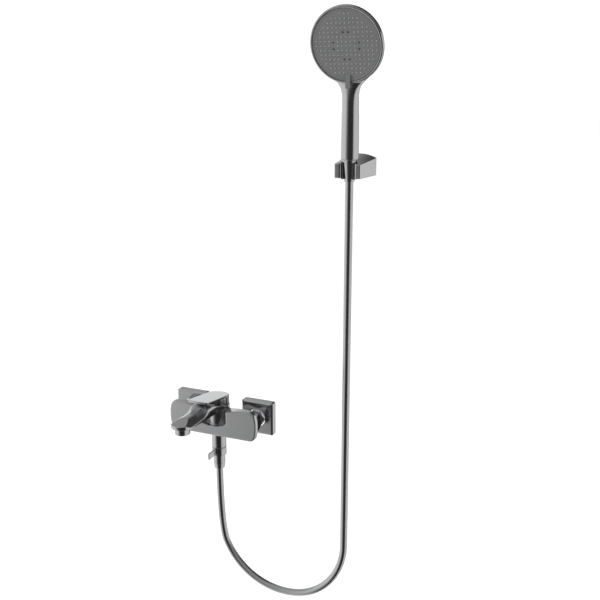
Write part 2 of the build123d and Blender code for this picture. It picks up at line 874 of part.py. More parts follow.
def bend_radii(points):
    """Largest radius each corner's two runs allow."""
    radii = []
    for before, here, after in zip(points, points[1:], points[2:]):
        run_in = Vector(*here) - Vector(*before)
        run_out = Vector(*after) - Vector(*here)
        turn = radians(run_in.get_angle(run_out))
        shorter = min(run_in.length, run_out.length)
        radii.append(bend_share * shorter / tan(turn / 2))
    return radii


hose_radii = bend_radii(hose_route)
print("hose radii", [round(r) for r in hose_radii])
with BuildPart() as hose:
    with BuildLine() as hose_line:
        FilletPolyline(*hose_route, radius=hose_radii)
    with BuildSketch(Plane(hose_route[0], z_dir=hose_line.wire() % 0)):
        Circle(hose_r)
    sweep(path=hose_line.wire())
hose_path = hose_line.wire()
hose_length = hose_path.length
print("hose length", round(hose_length, 1))
print("hose volume check", round(hose.part.volume / (pi * hose_r**2 * hose_length), 4))
save(hose, "hose")


# ================================================================ hand shower
def at_holder(z):
    """Horizontal plane on the socket's axis."""
    return Plane((holder_x, socket_y, z))


with BuildPart() as hose_barb_upper:
    with BuildSketch(at_holder(hose_finish)):
        Circle(hose_r + 0.5)
        Circle(hose_bore - 1, mode=Mode.SUBTRACT)
    extrude(amount=cone_top_z - 14.0 - hose_finish)
save(hose_barb_upper, "hose_barb_upper")

with BuildPart() as hose_washer_upper:
    with BuildSketch(at_holder(cone_top_z - 14.0)):
        Circle(tube_thread_r - 1.4)
        Circle(hose_bore, mode=Mode.SUBTRACT)
    extrude(amount=washer_thickness)
save(hose_washer_upper, "hose_washer_upper")

cone_profile = [
    (hose_r + 0.5 + seat, cone_end_z),
    (cone_end_r, cone_end_z),
    (cone_top_r, cone_top_z - 3.0),
    (cone_top_r, cone_top_z),
    (tube_thread_r + seat - 1.2, cone_top_z),
    (tube_thread_r + seat - 1.2, cone_top_z - 14.0),
    (hose_r + 0.5 + seat, cone_top_z - 14.0),
]
hose_cone = revolved(cone_profile, holder_x, socket_y)
save(hose_cone, "hose_cone")

nipple_r = tube_thread_r - 1.2
grip_base = cone_top_z + 1.0
grip_top = grip_base + grip_length
head_plane = Plane(
    origin=(holder_x, head_center_y, head_center_z),
    x_dir=(1, 0, 0),
    z_dir=(0, -cos(radians(head_tilt)), -sin(radians(head_tilt))),
)

with BuildPart() as handset_shell:
    # head: rim band and shallow domed back
    with BuildSketch(head_plane.offset(-head_rim)):
        Circle(head_r)
    extrude(amount=head_rim)
    with BuildSketch(head_plane.offset(-head_rim)):
        Circle(head_r)
    with BuildSketch(head_plane.offset(-head_back - 2)):
        Circle(head_r * 0.62)
    loft()
    # grip, and the neck that bends up into the head
    with BuildSketch(at_holder(grip_base)):
        Circle(grip_r)
    extrude(amount=grip_length)
    with BuildSketch(at_holder(grip_top)):
        Circle(grip_r)
    with BuildSketch(head_plane.offset(-head_rim).location * Location((0, -head_r + 22, 0))):
        Ellipse(grip_r + 9, 11)
    loft()
    # hollow: recess for the face, chamber and the grip's bore
    with BuildSketch(head_plane.offset(-face_recess - face_thickness - mat_thickness)):
        Circle(head_r - rim_width)
    extrude(amount=40, mode=Mode.SUBTRACT)
    with BuildSketch(head_plane.offset(-head_rim)):
        Circle(head_r * 0.6)
    extrude(amount=6, mode=Mode.SUBTRACT)
    with BuildSketch(at_holder(grip_base)):
        Circle(nipple_r + 3.0)
    extrude(amount=grip_length - 6, mode=Mode.SUBTRACT)
    with BuildSketch(at_holder(grip_base + 20)):
        Circle(6.0)
    extrude(amount=grip_length + 18, mode=Mode.SUBTRACT)
save(handset_shell, "handset_shell")

with BuildPart() as grip_nipple:
    with BuildSketch(at_holder(grip_base)):
        Circle(nipple_r + 3.0 - seat)
    extrude(amount=18.0)
    with BuildSketch(at_holder(cone_top_z - 12.0)):
        Circle(nipple_r)
    extrude(amount=13.5)
    with BuildSketch(at_holder(cone_top_z - 12.0)):
        Circle(hose_bore + 1)
    extrude(amount=40, mode=Mode.SUBTRACT)
save(grip_nipple, "grip_nipple")

face_r = head_r - rim_width - 0.3
mat_back = -face_recess - face_thickness - mat_thickness
with BuildPart() as nozzle_mat:
    with BuildSketch(head_plane.offset(mat_back)):
        Circle(face_r - 1)
    extrude(amount=mat_thickness)
save(nozzle_mat, "nozzle_mat")

with BuildPart() as face_plate:
    with BuildSketch(head_plane.offset(mat_back + mat_thickness + 0.05)):
        Circle(face_r)
    extrude(amount=face_thickness)
    # thumb tab that turns the face to the next spray: it bridges the rim
    tab_root = face_r - 10
    with BuildSketch(head_plane.offset(2 * air)):
        with Locations((0, -tab_root - selector_length / 2)):
            RectangleRounded(selector_width, selector_length, 2.5)
    extrude(amount=selector_height)
    with BuildSketch(head_plane.offset(-face_recess - 0.5)):
        with Locations((0, -tab_root - 4.5)):
            Rectangle(selector_width, 9)
    extrude(amount=face_recess + 1)
save(face_plate, "face_plate")


# ================================================================ wall bracket
def bracket_outline(width, height, crown, inset=0.0):
    """Bracket section: flat sides and bottom, arched top."""
    w = width / 2 - inset
    low = holder_z - bracket_front_height / 2 + inset
    high = low + height - 2 * inset
    with BuildSketch() as outline:
        with BuildLine():
            Polyline(
                (holder_x - w, high),
                (holder_x - w, low),
                (holder_x + w, low),
                (holder_x + w, high),
            )
            ThreePointArc((holder_x + w, high), (holder_x, high + crown), (holder_x - w, high))
        make_face()
    return outline.sketch


with BuildPart() as bracket_arm:
    with BuildSketch(Plane.XZ):
        add(bracket_outline(bracket_back_width, bracket_back_height, bracket_crown))
    with BuildSketch(Plane.XZ.offset(bracket_length)):
        add(bracket_outline(bracket_front_width, bracket_front_height, 1.0))
    loft()
    # hollow at the wall for the base plate
    with BuildSketch(Plane.XZ):
        add(bracket_outline(bracket_back_width, bracket_back_height, bracket_crown, bracket_wall))
    extrude(amount=base_thickness + 8, mode=Mode.SUBTRACT)
    # socket and flared mouth
    with BuildSketch(at_holder(holder_z - 60)):
        Circle(cone_top_r + liner_thickness)
    extrude(amount=120, mode=Mode.SUBTRACT)
    with BuildSketch(Plane.XY.offset(holder_z - 60)):
        with BuildLine():
            Polyline(
                (holder_x - mouth_back / 2, socket_y),
                (holder_x - mouth_front / 2, -bracket_length - 1),
                (holder_x + mouth_front / 2, -bracket_length - 1),
                (holder_x + mouth_back / 2, socket_y),
                close=True,
            )
        make_face()
    extrude(amount=120, mode=Mode.SUBTRACT)
save(bracket_arm, "bracket_arm")


def liner_r(z):
    """Cone radius of the liner's bore at a height."""
    slope = (cone_top_r - cone_end_r) / (cone_height - 3.0)
    return cone_end_r + (z - cone_end_z) * slope


liner_low = holder_z - bracket_front_height / 2 - 1.5
liner_high = holder_z + bracket_front_height / 2 + 1.5
with BuildPart() as cradle_liner:
    with BuildSketch(Plane((holder_x, socket_y, 0), x_dir=(1, 0, 0), z_dir=(0, -1, 0))):
        with BuildLine():
            Polyline(
                (liner_r(liner_low) + running, liner_low),
                (cone_top_r + liner_thickness - seat, liner_low),
                (cone_top_r + liner_thickness - seat, liner_high),
                (liner_r(liner_high) + running, liner_high),
                close=True,
            )
        make_face()
    revolve(axis=Axis((holder_x, socket_y, 0), (0, 0, 1)))
    with BuildSketch(Plane.XY.offset(liner_low - 5)):
        with Locations((holder_x, socket_y - 15)):
            Rectangle(mouth_back, 30)
    extrude(amount=50, mode=Mode.SUBTRACT)
save(cradle_liner, "cradle_liner")

screw_places = [(-screw_spacing / 2, 0), (screw_spacing / 2, 0)]
base_center = Plane.XZ.shift_origin((holder_x, 0, holder_z + 2))
with BuildPart() as bracket_base:
    with BuildSketch(Plane.XZ):
        inset = bracket_wall + seat
        add(bracket_outline(bracket_back_width, bracket_back_height, bracket_crown, inset))
    extrude(amount=base_thickness)
    with BuildSketch(base_center):
        with Locations(*screw_places):
            Circle(screw_r + 0.1)
    extrude(amount=base_thickness, mode=Mode.SUBTRACT)
save(bracket_base, "bracket_base")

with BuildPart() as bracket_screws:
    with BuildSketch(base_center.offset(base_thickness)):
        with Locations(*screw_places):
            Circle(screw_head_r)
    extrude(amount=2.6)
    with BuildSketch(base_center.offset(-plug_length + 3)):
        with Locations(*screw_places):
            Circle(screw_r)
    extrude(amount=plug_length - 3 + base_thickness)
save(bracket_screws, "bracket_screws")

with BuildPart() as wall_plugs:
    with BuildSketch(base_center.offset(-plug_length)):
        with Locations(*screw_places):
            Circle(plug_r)
    extrude(amount=plug_length)
    with BuildSketch(base_center.offset(-plug_length + 3)):
        with Locations(*screw_places):
            Circle(screw_r)
    extrude(amount=plug_length, mode=Mode.SUBTRACT)
save(wall_plugs, "wall_plugs")
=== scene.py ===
from math import cos, pi, radians, sin, sqrt, tan

import bmesh
import bpy
from mathutils import Matrix, Vector


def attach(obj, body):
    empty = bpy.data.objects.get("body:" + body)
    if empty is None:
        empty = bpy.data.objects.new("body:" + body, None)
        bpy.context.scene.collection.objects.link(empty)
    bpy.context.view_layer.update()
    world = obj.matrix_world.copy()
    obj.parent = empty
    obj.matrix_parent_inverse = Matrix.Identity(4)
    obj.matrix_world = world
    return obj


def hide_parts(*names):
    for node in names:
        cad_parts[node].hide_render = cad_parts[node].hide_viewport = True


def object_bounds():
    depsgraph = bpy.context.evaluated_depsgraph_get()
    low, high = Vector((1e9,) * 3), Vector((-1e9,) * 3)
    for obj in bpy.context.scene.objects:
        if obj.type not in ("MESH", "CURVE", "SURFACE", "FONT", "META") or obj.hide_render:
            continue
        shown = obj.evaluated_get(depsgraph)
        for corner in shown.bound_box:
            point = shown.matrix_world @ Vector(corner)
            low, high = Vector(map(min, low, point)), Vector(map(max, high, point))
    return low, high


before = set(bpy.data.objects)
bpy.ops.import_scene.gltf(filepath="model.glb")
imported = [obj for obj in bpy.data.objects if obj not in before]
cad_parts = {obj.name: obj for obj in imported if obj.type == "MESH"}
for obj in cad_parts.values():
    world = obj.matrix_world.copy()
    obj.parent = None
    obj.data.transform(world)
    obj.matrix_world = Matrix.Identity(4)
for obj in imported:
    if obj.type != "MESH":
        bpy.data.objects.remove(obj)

cad_low, cad_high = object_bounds()
bpy.ops.object.select_all(action="DESELECT")

# ------------------------------------------------------------ studio
# A white cove lit from all round. The polished metal mirrors grey walls with one black cloth behind
# the camera and a darker one behind the object, and a soft box hangs at each side of the front.
view = bpy.context.scene.view_settings
view.view_transform = "Standard"

bpy.ops.object.camera_add(location=(0.7892, -1.4672, 0.6676))
camera = bpy.context.object
camera.rotation_euler = (radians(90 - 14.52), 0, radians(23.46))
camera.data.lens = 51.55
camera.data.sensor_width = 36
camera.data.shift_x = 0.00795
camera.data.shift_y = -0.00325
bpy.context.scene.camera = camera

floor_drop = 0.35
bpy.ops.mesh.primitive_plane_add(size=60, location=(0, 0, cad_low.z - floor_drop))
floor = bpy.context.object
floor.name = "floor"
floor.visible_glossy = False
floor_paint = bpy.data.materials.new("floor_paint")
floor_paint.use_nodes = True
floor_paint.node_tree.nodes["Principled BSDF"].inputs["Base Color"].default_value = (0.95, 0.95, 0.95, 1)
floor_paint.node_tree.nodes["Principled BSDF"].inputs["Roughness"].default_value = 0.9
floor.data.materials.append(floor_paint)

room = bpy.data.worlds.new("room")
bpy.context.scene.world = room
room.use_nodes = True
air = room.node_tree.nodes
air.clear()
air_links = room.node_tree.links
out = air.new("ShaderNodeOutputWorld")
seen = air.new("ShaderNodeBackground")
seen.inputs["Color"].default_value = (1, 1, 1, 1)
seen.inputs["Strength"].default_value = 1.12
mirrored = air.new("ShaderNodeBackground")
mirrored.inputs["Strength"].default_value = 1.0
choose = air.new("ShaderNodeMixShader")
rays = air.new("ShaderNodeLightPath")
air_links.new(rays.outputs["Is Glossy Ray"], choose.inputs["Fac"])
air_links.new(seen.outputs[0], choose.inputs[1])
air_links.new(mirrored.outputs[0], choose.inputs[2])
air_links.new(choose.outputs[0], out.inputs["Surface"])
where = air.new("ShaderNodeTexCoord")
split = air.new("ShaderNodeSeparateXYZ")
air_links.new(where.outputs["Generated"], split.inputs[0])
front = air.new("ShaderNodeMath")
front.operation = "MULTIPLY"
front.inputs[1].default_value = -1
air_links.new(split.outputs["Y"], front.inputs[0])
turn = air.new("ShaderNodeMath")
turn.operation = "ARCTAN2"
air_links.new(split.outputs["X"], turn.inputs[0])
air_links.new(front.outputs[0], turn.inputs[1])
around = air.new("ShaderNodeMapRange")
around.inputs["From Min"].default_value = -pi
around.inputs["From Max"].default_value = pi
air_links.new(turn.outputs[0], around.inputs["Value"])


def band(cloths):
    """A ring of cloths round the object: pairs of bearing and lightness, the bearing in degrees from
    the front, -Y, towards +X."""
    ring = air.new("ShaderNodeValToRGB")
    stops = ring.color_ramp.elements
    while len(stops) < len(cloths):
        stops.new(0.5)
    for stop, (bearing, light) in zip(stops, cloths):
        stop.position = (bearing + 180) / 360
    for stop, (bearing, light) in zip(stops, cloths):
        stop.color = (light, light, light, 1)
    air_links.new(around.outputs["Result"], ring.inputs["Fac"])
    return ring.outputs["Color"]


walls = band([
    (-180, 0.16), (-168, 0.18), (-160, 0.30), (-154, 1.05), (-100, 1.05), (-48, 1.0), (-33, 0.74),
    (-27, 0.48), (-20, 0.24), (-10, 0.10), (4, 0.03), (57, 0.03), (64, 0.45), (72, 0.88), (100, 0.95),
    (158, 0.90), (168, 0.25), (180, 0.16),
])
loft = band([
    (-180, 0.05), (-172, 0.08), (-163, 0.24), (-153, 0.52), (-145, 0.42), (-110, 0.60), (-60, 0.70),
    (0, 0.45), (60, 0.35), (110, 0.20), (142, 0.06), (180, 0.05),
])
rise_to = air.new("ShaderNodeMapRange")
rise_to.inputs["From Min"].default_value = 0.12
rise_to.inputs["From Max"].default_value = 0.33
rise_to.interpolation_type = "SMOOTHSTEP"
air_links.new(split.outputs["Z"], rise_to.inputs["Value"])
dome = air.new("ShaderNodeMix")
dome.data_type = "RGBA"
air_links.new(rise_to.outputs["Result"], dome.inputs[0])
air_links.new(walls, dome.inputs[6])
air_links.new(loft, dome.inputs[7])
air_links.new(dome.outputs[2], mirrored.inputs["Color"])


def soft_box(name, place, aim, width, height, power):
    """A rectangular lamp that faces the point it is aimed at."""
    bpy.ops.object.light_add(type="AREA", location=place)
    lamp = bpy.context.object
    lamp.name = name
    lamp.data.shape = "RECTANGLE"
    lamp.data.size = width
    lamp.data.size_y = height
    lamp.data.energy = power
    lamp.visible_glossy = False
    lamp.rotation_euler = (Vector(aim) - Vector(place)).to_track_quat("-Z", "Y").to_euler()


soft_box("key_box", (-1.9, -1.7, 2.0), (0.1, 0, 0.2), 1.4, 1.4, 30)
soft_box("fill_box", (2.6, -1.2, 1.2), (0.1, 0, 0.1), 1.2, 2.0, 14)

# ------------------------------------------------------------ hose
# Smooth 14 mm shower hose: grey metallic vinyl over a woven core, 1.26 m long. It hangs straight from
# the nut under the mixer, turns a wide U and rises straight to the cone in the wall bracket.
hose_r = 0.007
hose_places = [
    (0.0, -0.039, -0.1044),
    (0.0, -0.039, -0.246),
    (0.028, -0.041, -0.305),
    (0.078, -0.0445, -0.345),
    (0.141, -0.0485, -0.359),
    (0.203, -0.053, -0.345),
    (0.253, -0.056, -0.304),
    (0.280, -0.058, -0.246),
    (0.280, -0.058, -0.182),
    (0.280, -0.058, 0.413),
    (0.280, -0.058, 0.497),
]
hose_line = bpy.data.curves.new("shower_hose", "CURVE")
hose_line.dimensions = "3D"
strand = hose_line.splines.new("NURBS")
strand.points.add(len(hose_places) - 1)
for point, place in zip(strand.points, hose_places):
    point.co = (*place, 1)
strand.order_u = 3
strand.use_endpoint_u = True
strand.resolution_u = 24
hose_line.bevel_depth = hose_r
hose_line.bevel_resolution = 10
hose_line.use_fill_caps = True
shower_hose = bpy.data.objects.new("shower_hose", hose_line)
bpy.context.scene.collection.objects.link(shower_hose)


def new_paint(name):
    """An empty principled material: its node tree and its shader."""
    paint = bpy.data.materials.new(name)
    paint.use_nodes = True
    return paint, paint.node_tree, paint.node_tree.nodes["Principled BSDF"]


def mottle(tree, scale, detail=3.0):
    """Soft cloudy pattern on the piece's own coordinates, from 0 to 1."""
    place = tree.nodes.new("ShaderNodeTexCoord")
    cloud = tree.nodes.new("ShaderNodeTexNoise")
    cloud.inputs["Scale"].default_value = scale
    cloud.inputs["Detail"].default_value = detail
    tree.links.new(place.outputs["Object"], cloud.inputs["Vector"])
    return cloud.outputs["Fac"]


def spread(tree, source, low, high):
    """Maps a 0 to 1 pattern on to a range."""
    ranger = tree.nodes.new("ShaderNodeMapRange")
    ranger.inputs["To Min"].default_value = low
    ranger.inputs["To Max"].default_value = high
    tree.links.new(source, ranger.inputs["Value"])
    return ranger.outputs["Result"]


def two_tone(tree, source, dark, light):
    """Mixes two near colours by a 0 to 1 pattern."""
    mix = tree.nodes.new("ShaderNodeMix")
    mix.data_type = "RGBA"
    mix.inputs[6].default_value = (*dark, 1)
    mix.inputs[7].default_value = (*light, 1)
    tree.links.new(source, mix.inputs[0])
    return mix.outputs[2]


def ripple(tree, source, strength, depth):
    """Bump from a 0 to 1 pattern."""
    bump = tree.nodes.new("ShaderNodeBump")
    bump.inputs["Strength"].default_value = strength
    bump.inputs["Distance"].default_value = depth
    tree.links.new(source, bump.inputs["Height"])
    return bump.outputs["Normal"]


def metal(name, dark, light, rough_low, rough_high, grain=900.0):
    """Polished metal: near even tone, cloudy polish and a very fine rub."""
    paint, tree, shader = new_paint(name)
    shader.inputs["Metallic"].default_value = 1.0
    cloud = mottle(tree, 18.0)
    tree.links.new(two_tone(tree, cloud, dark, light), shader.inputs["Base Color"])
    tree.links.new(spread(tree, cloud, rough_low, rough_high), shader.inputs["Roughness"])
    rub = mottle(tree, grain, 2.0)
    tree.links.new(ripple(tree, rub, 0.04, 0.0001), shader.inputs["Normal"])
    return paint


def plastic(name, dark, light, rough_low, rough_high, grain=1500.0, bump=0.08):
    """Moulded plastic or rubber: near even tone and a fine moulded grain."""
    paint, tree, shader = new_paint(name)
    cloud = mottle(tree, 40.0)
    tree.links.new(two_tone(tree, cloud, dark, light), shader.inputs["Base Color"])
    tree.links.new(spread(tree, cloud, rough_low, rough_high), shader.inputs["Roughness"])
    grains = mottle(tree, grain, 2.0)
    tree.links.new(ripple(tree, grains, bump, 0.0001), shader.inputs["Normal"])
    return paint


hose_skin = metal("hose_skin", (0.44, 0.445, 0.45), (0.48, 0.485, 0.49), 0.20, 0.27)
hose_line.materials.append(hose_skin)
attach(shower_hose, "wall_set")
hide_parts("hose")


def dress(paint, *names):
    """Gives CAD nodes that show as they are their finish."""
    for name in names:
        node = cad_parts[name]
        node.data.materials.clear()
        node.data.materials.append(paint)


bare_brass = metal("bare_brass", (0.62, 0.46, 0.20), (0.70, 0.53, 0.25), 0.28, 0.38)
black_rubber = plastic("black_rubber", (0.018, 0.018, 0.018), (0.026, 0.026, 0.026), 0.55, 0.7)
dress(bare_brass, "hose_barb_lower", "hose_barb_upper")
dress(black_rubber, "hose_washer_lower", "hose_washer_upper")

# ------------------------------------------------------------ wall unions
# Plated brass unions screwed into the wall's G1/2 sockets, with a filter washer on each end and a
# plastic check valve pushed into each tail of the mixer. Nearly all of it is behind the roses.
stainless = metal("stainless", (0.58, 0.58, 0.57), (0.66, 0.66, 0.65), 0.26, 0.36)
cartridge_plastic = plastic("cartridge_plastic", (0.62, 0.62, 0.60), (0.70, 0.70, 0.68), 0.38, 0.48)
dress(bare_brass, "wall_union_hot", "wall_union_cold")
dress(black_rubber, "filter_washers")
dress(cartridge_plastic, "check_valves", "check_poppet_hot", "check_poppet_cold")

# ------------------------------------------------------------ square roses
# Two pressed brass roses, 69 mm square and 16 mm deep, polished and plated dark grey. Each is a cup
# open to the wall with a sloping border round its flat front, slid on over the union nut.
inlet_x = 75.0
rose_side = 69.0
rose_flank = 13.2
rose_front = 16.0
rose_slope = 3.4
rose_wall = 2.2
rose_bore = 18.2
gunmetal = metal("gunmetal", (0.46, 0.463, 0.47), (0.50, 0.503, 0.51), 0.15, 0.20)


def only(piece):
    """Selects one piece and nothing else."""
    bpy.ops.object.select_all(action="DESELECT")
    piece.select_set(True)
    bpy.context.view_layer.objects.active = piece


def pick(piece, kind, test):
    """In edit mode, selects just the faces or edges that pass a test."""
    bpy.ops.mesh.select_mode(type=kind)
    bpy.ops.mesh.select_all(action="DESELECT")
    net = bmesh.from_edit_mesh(piece.data)
    for item in (net.faces if kind == "FACE" else net.edges):
        if test(item):
            item.select_set(True)
    bmesh.update_edit_mesh(piece.data)


def block(name, low, high):
    """A block between two corners in millimetres."""
    middle = [(a + b) / 2000 for a, b in zip(low, high)]
    size = [(b - a) / 1000 for a, b in zip(low, high)]
    bpy.ops.object.select_all(action="DESELECT")
    bpy.ops.mesh.primitive_cube_add(size=1, location=middle, scale=size)
    piece = bpy.context.object
    piece.name = name
    bpy.ops.object.transform_apply(location=True, rotation=True, scale=True)
    return piece


def rod(name, start, end, radius, sides=96):
    """A round rod between two points in millimetres."""
    a, b = Vector(start) / 1000, Vector(end) / 1000
    bpy.ops.object.select_all(action="DESELECT")
    bpy.ops.mesh.primitive_cylinder_add(vertices=sides, radius=radius / 1000, depth=(b - a).length,
                                        location=(a + b) / 2,
                                        rotation=(b - a).to_track_quat("Z", "Y").to_euler())
    piece = bpy.context.object
    piece.name = name
    bpy.ops.object.transform_apply(location=True, rotation=True, scale=True)
    return piece


def fit(piece, other, action="DIFFERENCE"):
    """Cuts another piece out of this one, joins it on, or keeps what they share; the other one goes."""
    only(piece)
    step = piece.modifiers.new("fit", "BOOLEAN")
    step.object = other
    step.operation = action
    step.solver = "EXACT"
    bpy.ops.object.modifier_apply(modifier=step.name)
    spare = other.data
    bpy.data.objects.remove(other)
    bpy.data.meshes.remove(spare)


def soften(piece, width, crease=35, segments=3):
    """Breaks the sharp edges, as polishing does."""
    only(piece)
    edge = piece.modifiers.new("broken_edge", "BEVEL")
    edge.width = width / 1000
    edge.segments = segments
    edge.limit_method = "ANGLE"
    edge.angle_limit = radians(crease)
    edge.miter_outer = "MITER_ARC"
    bpy.ops.object.modifier_apply(modifier=edge.name)


def settle(piece, body, nodes, paint, crease=40):
    """Ends a piece: smooth shading, finish, the body it rides on, the nodes it stands for."""
    only(piece)
    bpy.ops.object.transform_apply(location=True, rotation=True, scale=True)
    bpy.ops.object.shade_smooth_by_angle(angle=radians(crease))
    even = piece.modifiers.new("even_shade", "WEIGHTED_NORMAL")
    even.keep_sharp = True
    bpy.ops.object.modifier_apply(modifier=even.name)
    piece.data.materials.clear()
    piece.data.materials.append(paint)
    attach(piece, body)
    if nodes:
        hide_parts(*nodes)


def rose(name, x):
    """One rose on the wall round an inlet."""
    half = rose_side / 2
    piece = block(name, (x - half, -rose_flank, -half), (x + half, 0, half))
    bpy.ops.object.mode_set(mode="EDIT")
    pick(piece, "EDGE", lambda e: abs(e.verts[0].co.y - e.verts[1].co.y) > 0.001)
    bpy.ops.mesh.bevel(offset=0.004, segments=8, affect="EDGES")
    pick(piece, "FACE", lambda f: f.normal.y < -0.9)
    bpy.ops.mesh.extrude_region_move(
        TRANSFORM_OT_translate={"value": (0, -(rose_front - rose_flank) / 1000, 0)})
    small = (rose_side - 2 * rose_slope) / rose_side
    bpy.ops.transform.resize(value=(small, 1, small), center_override=(x / 1000, -rose_front / 1000, 0))
    bpy.ops.object.mode_set(mode="OBJECT")
    inner = half - rose_wall
    fit(piece, block("cup", (x - inner, -rose_flank, -inner), (x + inner, 5, inner)))
    fit(piece, rod("bore", (x, -30, 0), (x, 5, 0), rose_bore))
    soften(piece, 0.45)
    return piece


for name, x, node in (("rose_hot", -inlet_x, "escutcheon_hot"), ("rose_cold", inlet_x, "escutcheon_cold")):
    settle(rose(name, x), "wall_set", [node], gunmetal)

# ------------------------------------------------------------ union nuts
# Two hexagon nuts, 30 mm across the flats, turned from brass bar and plated like the body. They pull
# the mixer's tails against the wall unions, and their corners are chamfered at both ends.
nut_back = 7.5
nut_front = 21.5
nut_flats = 30.0


def turned(name, outline, x=0.0, y=0.0, sides=96):
    """A turned piece: an outline of (radius, height) goes once round an upright axis."""
    bpy.ops.object.select_all(action="DESELECT")
    bpy.ops.mesh.primitive_circle_add(vertices=len(outline), radius=0.01)
    piece = bpy.context.object
    piece.name = name
    for corner, (radius, height) in zip(piece.data.vertices, outline):
        corner.co = (radius / 1000, 0, height / 1000)
    bpy.ops.object.mode_set(mode="EDIT")
    bpy.ops.mesh.select_all(action="SELECT")
    bpy.ops.mesh.spin(steps=sides, angle=2 * pi, center=(0, 0, 0), axis=(0, 0, 1))
    bpy.ops.mesh.select_all(action="SELECT")
    bpy.ops.mesh.remove_doubles(threshold=1e-6)
    bpy.ops.mesh.delete_loose()
    bpy.ops.mesh.select_all(action="SELECT")
    bpy.ops.mesh.normals_make_consistent(inside=False)
    bpy.ops.object.mode_set(mode="OBJECT")
    piece.location = (x / 1000, y / 1000, 0)
    bpy.ops.object.transform_apply(location=True, rotation=True, scale=True)
    return piece


def lay_down(piece, x):
    """Turns an upright piece so that its top points to the room, on an inlet's axis."""
    only(piece)
    piece.rotation_euler = (radians(90), 0, 0)
    piece.location = (x / 1000, 0, 0)
    bpy.ops.object.transform_apply(location=True, rotation=True, scale=True)
    return piece


def nut(x):
    """One union nut on an inlet's axis."""
    corner = nut_flats / 2 / cos(radians(30))
    bar = rod("nut", (x, -nut_back, 0), (x, -nut_front, 0), corner, 6)
    net = bar.data
    top = max(abs(v.co.z) for v in net.vertices)
    if top > corner / 1000 - 1e-5:
        bpy.ops.object.mode_set(mode="EDIT")
        bpy.ops.mesh.select_all(action="SELECT")
        bpy.ops.transform.rotate(value=radians(30), orient_axis="Y", center_override=(x / 1000, 0, 0))
        bpy.ops.object.mode_set(mode="OBJECT")
    rim = nut_flats / 2 + 0.3
    gauge = turned("gauge", [
        (0, nut_back - 0.1), (rim, nut_back - 0.1), (corner + 0.2, nut_back + 1.4),
        (corner + 0.2, nut_front - 1.4), (rim, nut_front + 0.1), (0, nut_front + 0.1),
    ])
    fit(bar, lay_down(gauge, x), "INTERSECT")
    fit(bar, rod("thread", (x, 0, 0), (x, -19.0, 0), 13.3))
    fit(bar, rod("throat", (x, 0, 0), (x, -30, 0), 9.75))
    soften(bar, 0.25)
    return bar


hot_nut = nut(-inlet_x)
cold_nut = nut(inlet_x)
bpy.ops.object.select_all(action="DESELECT")
cold_nut.select_set(True)
hot_nut.select_set(True)
bpy.context.view_layer.objects.active = hot_nut
bpy.ops.object.join()
hot_nut.name = "nut_pair"
settle(hot_nut, "wall_set", ["union_nuts"], gunmetal)

# ------------------------------------------------------------ mixer body
# One brass casting: a flat front plate with bowed ends, the round barrel behind it that joins both
# inlets, the upright column for the cartridge and the outlet boss. It is ground, polished and plated.
body_y = -39.0
plate_half = 97.0
plate_bow = 2.5
plate_top = 31.0
plate_back = -56.5
plate_front = -66.5
plate_corner = 14.0
barrel_r = 17.0
column_r = 21.5
column_top = 20.0
outlet_r = 14.75
outlet_end = -30.0
cartridge_r = 17.5
tail_r = 9.6
flange_r = 11.9
waterway_r = 7.0
outlet_way_r = 10.0
scoop_half = 31.5
dip_start = 27.0
dip_half = 88.0
dip_top = 22.0


def arc(center, radius, start, end, steps):
    """Points of an arc about a centre, from one angle to another in degrees."""
    angles = [radians(start + (end - start) * i / steps) for i in range(steps + 1)]
    return [(center[0] + radius * cos(a), center[1] + radius * sin(a)) for a in angles]


def sheet_of(name, outline, upright, start, end):
    """An outline pushed out between two heights along the axis it is upright to: X, Y or Z."""
    bpy.ops.object.select_all(action="DESELECT")
    bpy.ops.mesh.primitive_circle_add(vertices=len(outline), radius=0.01, fill_type="NGON")
    piece = bpy.context.object
    piece.name = name
    lay = {"X": lambda a, b: (start, a, b), "Y": lambda a, b: (a, start, b), "Z": lambda a, b: (a, b, start)}
    push = {"X": (end - start, 0, 0), "Y": (0, end - start, 0), "Z": (0, 0, end - start)}
    for corner, (a, b) in zip(piece.data.vertices, outline):
        corner.co = Vector(lay[upright](a, b)) / 1000
    bpy.ops.object.mode_set(mode="EDIT")
    bpy.ops.mesh.select_all(action="SELECT")
    bpy.ops.mesh.extrude_region_move(TRANSFORM_OT_translate={"value": Vector(push[upright]) / 1000})
    bpy.ops.mesh.select_all(action="SELECT")
    bpy.ops.mesh.normals_make_consistent(inside=False)
    bpy.ops.object.mode_set(mode="OBJECT")
    return piece


def fair(piece, cell, passes, most=180000):
    """Melts joined shapes into one skin and polishes it, so that inner corners become soft blends."""
    only(piece)
    skin = piece.modifiers.new("skin", "REMESH")
    skin.mode = "VOXEL"
    skin.voxel_size = cell / 1000
    bpy.ops.object.modifier_apply(modifier=skin.name)
    polish = piece.modifiers.new("polish", "SMOOTH")
    polish.factor = 0.5
    polish.iterations = passes
    bpy.ops.object.modifier_apply(modifier=polish.name)
    triangles = sum(len(f.vertices) - 2 for f in piece.data.polygons)
    if triangles > most:
        thin = piece.modifiers.new("thin", "DECIMATE")
        thin.ratio = most / triangles
        bpy.ops.object.modifier_apply(modifier=thin.name)


